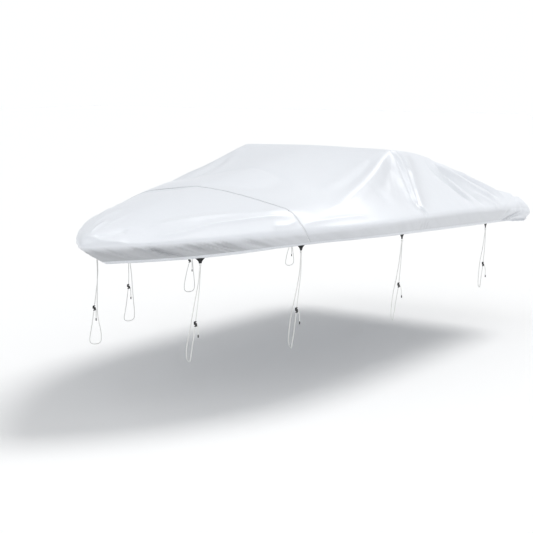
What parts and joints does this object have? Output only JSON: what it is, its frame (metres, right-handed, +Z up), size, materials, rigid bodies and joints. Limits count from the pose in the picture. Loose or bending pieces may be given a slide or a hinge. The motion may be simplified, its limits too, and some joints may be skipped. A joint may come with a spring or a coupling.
{
  "type": "boat cover",
  "caption": "Fitted light grey boat cover with a windscreen peak, a bow seam, webbing tabs along its hem and rope ties with small black cleats.",
  "frame": {"origin": "underside of the cloth at the middle of the windscreen's top edge, where the cover rests", "axes": "+X towards the stern (the bow points along -X), +Y towards starboard, +Z up"},
  "size_m": [4.7864, 2.25, 1.3518],
  "materials": {
    "cloth": "coated polyester, light grey, soft sheen",
    "webbing": "black woven webbing, matte",
    "rope": "white braided cord, matte",
    "cleat_plastic": "moulded, satin black"
  },
  "bodies": {
    "root": {"panel_bow": "cloth", "panel_main": "cloth", "tab_port_1": "webbing", "knot_port_1": "rope", "rope_long_port_1": "rope", "rope_stay_port_1": "rope", "rope_free_port_1": "rope", "cleat_port_1": "cleat_plastic", "tip_port_1": "cleat_plastic", "tab_port_2": "webbing", "knot_port_2": "rope", "rope_long_port_2": "rope", "rope_stay_port_2": "rope", "rope_free_port_2": "rope", "cleat_port_2": "cleat_plastic", "tip_port_2": "cleat_plastic", "tab_port_3": "webbing", "knot_port_3": "rope", "rope_long_port_3": "rope", "rope_stay_port_3": "rope", "rope_free_port_3": "rope", "cleat_port_3": "cleat_plastic", "tip_port_3": "cleat_plastic", "tab_port_4": "webbing", "knot_port_4": "rope", "rope_long_port_4": "rope", "rope_stay_port_4": "rope", "rope_free_port_4": "rope", "cleat_port_4": "cleat_plastic", "tip_port_4": "cleat_plastic", "tab_starboard_1": "webbing", "knot_starboard_1": "rope", "rope_long_starboard_1": "rope", "rope_stay_starboard_1": "rope", "rope_free_starboard_1": "rope", "cleat_starboard_1": "cleat_plastic", "tip_starboard_1": "cleat_plastic", "tab_starboard_2": "webbing", "knot_starboard_2": "rope", "rope_long_starboard_2": "rope", "rope_stay_starboard_2": "rope", "rope_free_starboard_2": "rope", "cleat_starboard_2": "cleat_plastic", "tip_starboard_2": "cleat_plastic", "tab_starboard_3": "webbing", "knot_starboard_3": "rope", "rope_long_starboard_3": "rope", "rope_stay_starboard_3": "rope", "rope_free_starboard_3": "rope", "cleat_starboard_3": "cleat_plastic", "tip_starboard_3": "cleat_plastic", "tab_starboard_4": "webbing", "knot_starboard_4": "rope", "rope_long_starboard_4": "rope", "rope_stay_starboard_4": "rope", "rope_free_starboard_4": "rope", "cleat_starboard_4": "cleat_plastic", "tip_starboard_4": "cleat_plastic"}
  },
  "joints": []
}
